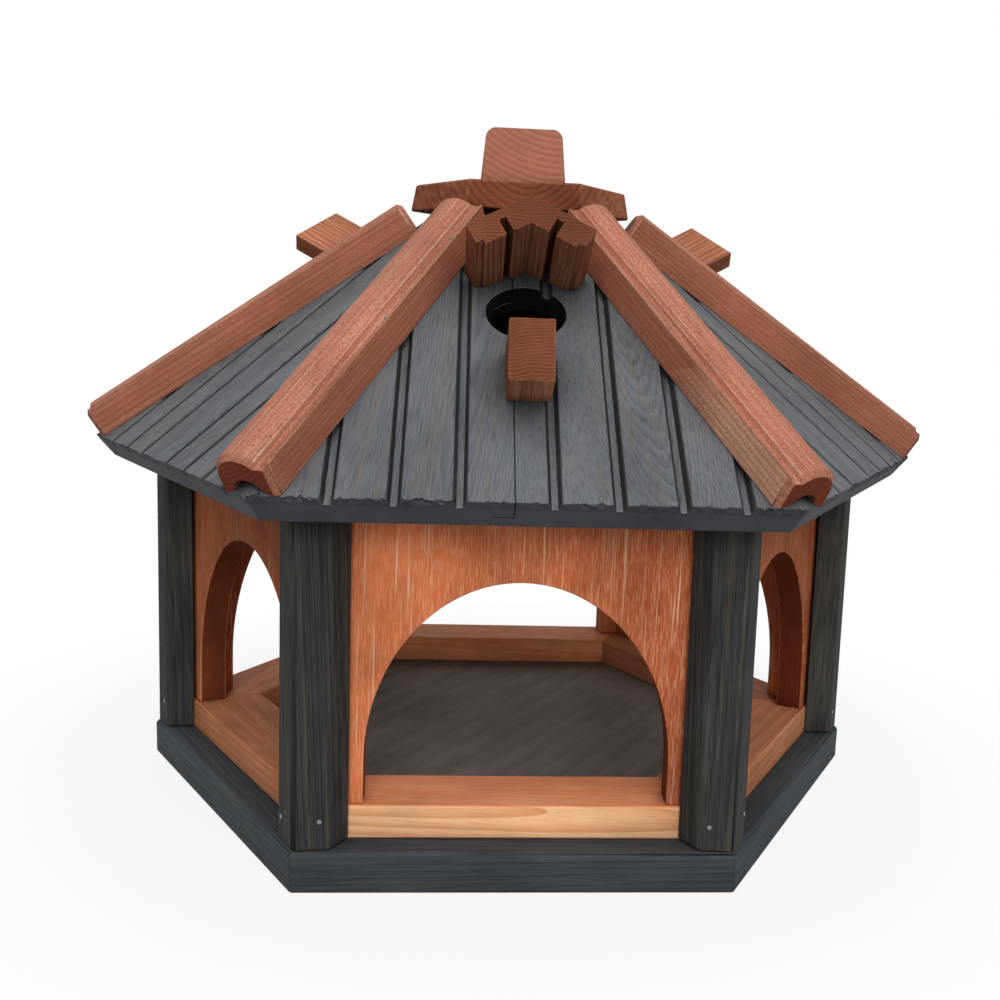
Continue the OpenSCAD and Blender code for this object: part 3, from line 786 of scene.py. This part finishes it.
def darken_hollows(bm, axes):
    across, inwards, uphill = axes.col
    finish = bm.faces.layers.float_vector["finish"]
    eave = min(v.co.dot(uphill) for v in bm.verts)
    top = min(v.co.dot(inwards) for v in bm.verts)
    cut_across(bm, bm.faces[:], inwards * (top + GROOVE_SHADE_FROM), inwards)
    for face in bm.faces:
        middle = face.calc_center_median()
        outwards = -face.normal.dot(inwards)
        sunk = middle.dot(inwards) - top > GROOVE_LIP
        from_hole = Vector((middle.dot(across), middle.dot(uphill) - eave - HOLE_SEAT)).length
        # A groove's floor is painted paler, as light against the shade of the groove
        if sunk and outwards > LOOKS_OUT:
            face[finish] = (0, 0, GROOVE_FLOOR)
        elif sunk and outwards > LEANS_OUT:
            # Painted shade low on a groove's wall, darker on the left wall than on the right
            tone_shift = LEFT_WALL_SHADE if face.normal.dot(across) > 0 else RIGHT_WALL_SHADE
            face[finish] = (0, 0, tone_shift if middle.dot(inwards) > top + GROOVE_SHADE_FROM else GROOVE_WALL)
        # Painted shade: the walls of a nest hole are painted near black
        elif sunk and abs(outwards) < LOOKS_OUT and from_hole < HOLE_REACH:
            face[finish] = (0, 0, HOLE_SHADE)


print("grooves are darkest below", round(GROOVE_SHADE_FROM * MM, 1), "mm")

# %% [markdown]
# ## Torn eaves
#
# The saw tore fibres out of the upper edge of each board as it left the eave. Bump can't show that,
# because the outline itself is broken, so we cut the strip along the eave into small cells with bisect
# planes and push the cut vertices back by noise: torn stretches between clean ones, and nothing lower
# down.

# %% Tear the eave of a board
from mathutils import noise

# How far up the slope, and how far down the sawn end, the cells reach
TEAR_LEVELS = (0.0011, 0.0028, 0.0060)
TEAR_DEPTHS = (0.0011, 0.0026, 0.0050)
TEAR_CELL = 0.0012
# The deepest tears of each board, the depth that none passes, and how dark torn faces are painted as
# shade
TORN = {"roof_over_board_front": 0.0085, "roof_under_board_front": 0.005,
        "roof_over_board_front_left": 0.0012, "roof_under_board_front_left": 0.0012}
TORN_ELSEWHERE = 0.003
TORN_LIMIT = 0.0042
TORN_SHADE = -1.5
# A torn face that looks this much down the slope shows sawn fibres, painted darker as the nick's shade
TORN_STEEP = 0.3
# Lengths along the eave, in millimetres: torn stretches, chips and fibres, and how thick a fibre is
STRETCH_MM, CHIP_MM, FIBRE_MM, FIBRE_THICK_MM = 19.0, 5.0, 1.7, 2
# Each board starts somewhere else in the noise, up to here, and chips have a layer of it to themselves
NOISE_STARTS = 50
CHIP_LAYER = 3
# How much is torn on average, and how strongly torn stretches and clean ones differ
STRETCH_MIDDLE, STRETCH_SWING = 0.7, 2
# What is added to the noise of chips and fibres before it cuts, and how deep fibres go beside chips
CHIP_MORE, FIBRE_MORE = 0.05, 0.1
FIBRE_SHARE = 0.6
# A torn vertex moves this many times further up the slope than into the board
SLOPE_TO_DEPTH = 3


def cut_cells(bm, axes, eave, top):
    """Cuts the strip along the upper edge of the eave into cells and gives back their vertices."""
    across, inwards, uphill = axes.col
    for level in TEAR_LEVELS:
        cut_across(bm, bm.faces[:], uphill * (eave + level), uphill)
    for depth in TEAR_DEPTHS:
        strip = [f for f in bm.faces if min(v.co.dot(uphill) for v in f.verts) < eave + WELD]
        cut_across(bm, strip, inwards * (top + depth), inwards)
    strip = [f for f in bm.faces if max(v.co.dot(uphill) for v in f.verts) < eave + TEAR_LEVELS[-1] + WELD
             and max(v.co.dot(inwards) for v in f.verts) < top + TEAR_DEPTHS[-1] + WELD]
    places = [v.co.dot(across) for f in strip for v in f.verts]
    for cell in range(1, int((max(places) - min(places)) / TEAR_CELL)):
        place = min(places) + cell * TEAR_CELL
        cut = cut_across(bm, strip, across * place, across)
        strip = [f for f in cut if f.calc_center_median().dot(across) > place]
    return [v for v in bm.verts if v.co.dot(uphill) < eave + TEAR_LEVELS[-1] - WELD
            and v.co.dot(inwards) < top + TEAR_DEPTHS[-1] - WELD]


def tear_eave(bm, axes, node):
    across, inwards, uphill = axes.col
    finish = bm.faces.layers.float_vector["finish"]
    eave = min(v.co.dot(uphill) for v in bm.verts)
    top = min(v.co.dot(inwards) for v in bm.verts)
    deepest = TORN.get(node, TORN_ELSEWHERE)
    start = random.Random(node + " eave").uniform(0, NOISE_STARTS)
    strip = cut_cells(bm, axes, eave, top)
    # A quad whose corners move apart would be bent, and triangles stay flat
    bmesh.ops.triangulate(bm, faces=list({f for v in strip for f in v.link_faces if len(f.verts) == 4}))
    for vert in strip:
        along = vert.co.dot(across) * MM
        depth = vert.co.dot(inwards) - top
        near_edge = 1 - (vert.co.dot(uphill) - eave) / TEAR_LEVELS[-1]
        near_top = 1 - depth / TEAR_DEPTHS[-1]
        stretches = noise.noise(Vector((along / STRETCH_MM, start, 0)))
        chips = noise.noise(Vector((along / CHIP_MM, start, CHIP_LAYER)))
        fibres = noise.noise(Vector((along / FIBRE_MM, start, depth * MM / FIBRE_THICK_MM)))
        stretch = min(1, max(0, STRETCH_MIDDLE + STRETCH_SWING * stretches))
        cut = max(0, chips + CHIP_MORE) + FIBRE_SHARE * max(0, fibres + FIBRE_MORE)
        torn = min(TORN_LIMIT, deepest * stretch * cut) * near_edge * near_top
        vert.co += uphill * torn + inwards * torn / SLOPE_TO_DEPTH
    bm.normal_update()
    # Painted shade: the faces inside the nicks are darkened, on top of being end grain
    for face in {f for v in strip for f in v.link_faces}:
        if face.normal.dot(uphill) < -TORN_STEEP:
            face[finish] = (0, 1, TORN_SHADE)


def hollows_and_torn_eave(bm, axes, node):
    darken_hollows(bm, axes)
    tear_eave(bm, axes, node)


print("fibres are torn out by up to", TORN_LIMIT * MM, "mm")

# %% [markdown]
# ## Roof boards
#
# Two boards make each face of the roof, and one laps over the other at their seam. Their fibres run up
# the slope. They are made as every piece is, with the hollows and the torn eave on top. Their edges are
# eased less than others, because wide bevels would eat the narrow grooves.

# %% Roof boards
# The side faces are painted paler than the front, as light, so that they look as bright as the front
ROOF_LIGHT_TONES = {"front": 0.2, "front_left": 1.2, "front_right": 0.9}
BACK_ROOF_TONE = 0.3
for step, side in enumerate(SIDES):
    for lap in ("over", "under"):
        make_piece(f"roof_{lap}_board_{side}", turned(up_slope, step), roof_grey,
                   edge=0.0005, wear=0.15, lean=0.11, tone=ROOF_LIGHT_TONES.get(side, BACK_ROOF_TONE),
                   shape=hollows_and_torn_eave)
print("roof:", 2 * len(SIDES), "boards")

# %% [markdown]
# ## Battens on the hips
#
# Moulded battens cover the joints of the roof. Their fibres run down the hip. The planed flat is painted
# darker than the moulded roll, as shade, and it is easy to find: it is the widest face that looks
# sideways.
# On one batten the brush missed the lower end of the flat. Slanting cuts split that end into strips, and
# each strip is a little barer than the one above it, so the stain runs out softly.

# %% Hip battens
# The flat is larger than this, in square metres, and looks at least this much sideways
WIDE_FACE = 0.0015
SIDEWAYS = 0.5
# Only the long arrises are eased: the ends were chamfered already
LONG_ARRIS = 0.02
# The flat: how much darker it is painted, as shade, and its tone
FLAT_SHADE, FLAT_TONE = 0.5, 1.0
# The missed end: where along the batten it starts, its strips and their length, and how bare it gets
MISSED_BATTEN = "hip_batten_front_right"
MISSED_FROM = 0.57
MISSED_STEPS = 9
MISSED_STEP = 0.006
MISSED_RUBBED = 0.75
# Faces that look this much down the hip belong to the chamfered end
CHAMFER, CHAMFER_TONE = 0.25, -0.8


def stain_flat(bm, axes, node):
    across, outwards, downhill = axes.col
    finish = bm.faces.layers.float_vector["finish"]
    places = [v.co.dot(downhill) for v in bm.verts]
    missed_from = min(places) + MISSED_FROM * (max(places) - min(places))
    for face in bm.faces:
        if face.normal.dot(downhill) > CHAMFER:
            face[finish] = (0, 0, CHAMFER_TONE)
    flat = [f for f in bm.faces if f.calc_area() > WIDE_FACE and abs(f.normal.dot(across)) > SIDEWAYS]
    # Painted shade: the flat is darkened
    for face in flat:
        face[finish] = (0, FLAT_SHADE, FLAT_TONE)
    if node == MISSED_BATTEN:
        seat = outwards * flat[0].calc_center_median().dot(outwards)
        for step in range(MISSED_STEPS):
            bare_from = missed_from + step * MISSED_STEP
            cut = cut_across(bm, flat, seat + downhill * bare_from, (downhill - outwards).normalized())
            flat = [f for f in cut if f.calc_center_median().dot(downhill) > bare_from]
            share = (step + 1) / MISSED_STEPS
            for face in flat:
                face[finish] = (MISSED_RUBBED * share, FLAT_SHADE * (1 - share), FLAT_TONE * (1 - share))


for step, corner in enumerate(CORNERS):
    make_piece("hip_batten_" + corner, turned(down_hip, step), batten_brown, wear=0.6,
               shortest=LONG_ARRIS, lean=0.012, shape=stain_flat)
print("battens:", len(CORNERS))

# %% [markdown]
# ## Cap, block, dormers and perches
#
# These are short offcuts, and we look straight at their sawn ends. Where the heart of the tree lay
# decides what the rings look like there, so these pieces name it: near the cap for a fan of arcs, far
# from a perch for nearly straight lines. Their undersides kept less of the stain, and what looks up from
# the dormers is painted much paler, as light from above, so a function marks those faces.

# %% Blocks with sawn ends
CAP_HEART, CAP_TONE = (0, -26), -0.6
CHIMNEY_HEART, CHIMNEY_TONE = (24, -66), 1.0
PERCH_HEART = (12, -130)
DORMER_HEART = (0, -150)
make_piece("apex_cap", along_y, cap_brown,
           edge=0.0016, wear=0.3, heart=CAP_HEART, tone=CAP_TONE)
make_piece("chimney_block", along_y, chimney_brown,
           edge=0.0014, wear=0.3, heart=CHIMNEY_HEART, tone=CHIMNEY_TONE)
# How bare the undersides are, and their tone
UNDERSIDES = {"dormer": (0.5, -0.7), "perch": (0.45, 3.6)}
# Tops: rubbed a little, and much paler, as light from above painted on them
LIT_TOPS = (0.25, 0, 4.2)
# A face that looks this much up or down is a top or an underside
LEVEL = 0.7
# A porch, which is a perch and its dormer, on every second side
PORCH_STEPS = range(0, len(SIDES), 2)


def undersides_and_lit_tops(bm, axes, node):
    finish = bm.faces.layers.float_vector["finish"]
    rubbed, depth = UNDERSIDES[node.split("_")[0]]
    for face in bm.faces:
        upwards = face.normal.dot(axes.col[1])
        if upwards < -LEVEL:
            face[finish] = (rubbed, 0, depth)
        # Painted light: the tops of the dormers are paler
        elif node.startswith("dormer") and upwards > LEVEL:
            face[finish] = LIT_TOPS


for step in PORCH_STEPS:
    side = SIDES[step]
    make_piece("perch_block_" + side, turned(out_of_porch, step), block_brown,
               wear=0.25, heart=PERCH_HEART, shape=undersides_and_lit_tops)
    for hand in ("left", "right"):
        make_piece(f"dormer_board_{side}_{hand}", turned(out_of_porch, step), block_brown,
                   edge=0.0006, wear=0.2, heart=DORMER_HEART, shape=undersides_and_lit_tops)
print("porches:", len(PORCH_STEPS), "of a perch and two dormer boards")

# %% [markdown]
# ## Loft floor
#
# A board of bare pine closes the nest space off from the feeding floor. It hardly shows, but a look
# through a nest hole or up from below finds wood there, so it is made like every other board.

# %% Loft floor
make_piece("loft_floor", along_x, loft_pine, tone=0)
print("loft floor: bare pine")

# %% [markdown]
# ## Nails
#
# Zinc-plated nails hold the posts and the battens. They already have their shape in the frame, and eased
# edges would be too fine to see, so they only get their metal: bright zinc with a little grey bloom.

# %% Zinc-plated nails
# Patches of bloom, in mm
BLOOM_MM = 1.5
zinc = bpy.data.materials.new("zinc_plated_steel")
zinc.use_nodes = True
zinc_tree = zinc.node_tree
zinc_tree.nodes.clear()
zinc_place = add(zinc_tree, "ShaderNodeTexCoord").outputs["Object"]
bloom = add(zinc_tree, "ShaderNodeTexNoise", {
    "Vector": zinc_place, "Scale": MM / BLOOM_MM, "Detail": 2.0})
zinc_colour = add(zinc_tree, "ShaderNodeMix", {
    "Factor": bloom.outputs["Fac"], MIX_A: linear("#9a9da0"), MIX_B: linear("#5d6164")},
    data_type="RGBA")
zinc_rough = add(zinc_tree, "ShaderNodeMapRange", {
    "Value": bloom.outputs["Fac"], "From Min": NOISE_LOW, "From Max": NOISE_HIGH,
    "To Min": 0.28, "To Max": 0.5})
zinc_surface = add(zinc_tree, "ShaderNodeBsdfPrincipled", {
    "Base Color": zinc_colour.outputs[MIX_OUT], "Roughness": zinc_rough.outputs[0], "Metallic": 1.0})
add(zinc_tree, "ShaderNodeOutputMaterial", {"Surface": zinc_surface.outputs[0]})
for node in ("post_nails", "batten_nails"):
    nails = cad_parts[node]
    nails.data.materials.clear()
    nails.data.materials.append(zinc)
print("nails: zinc plated")
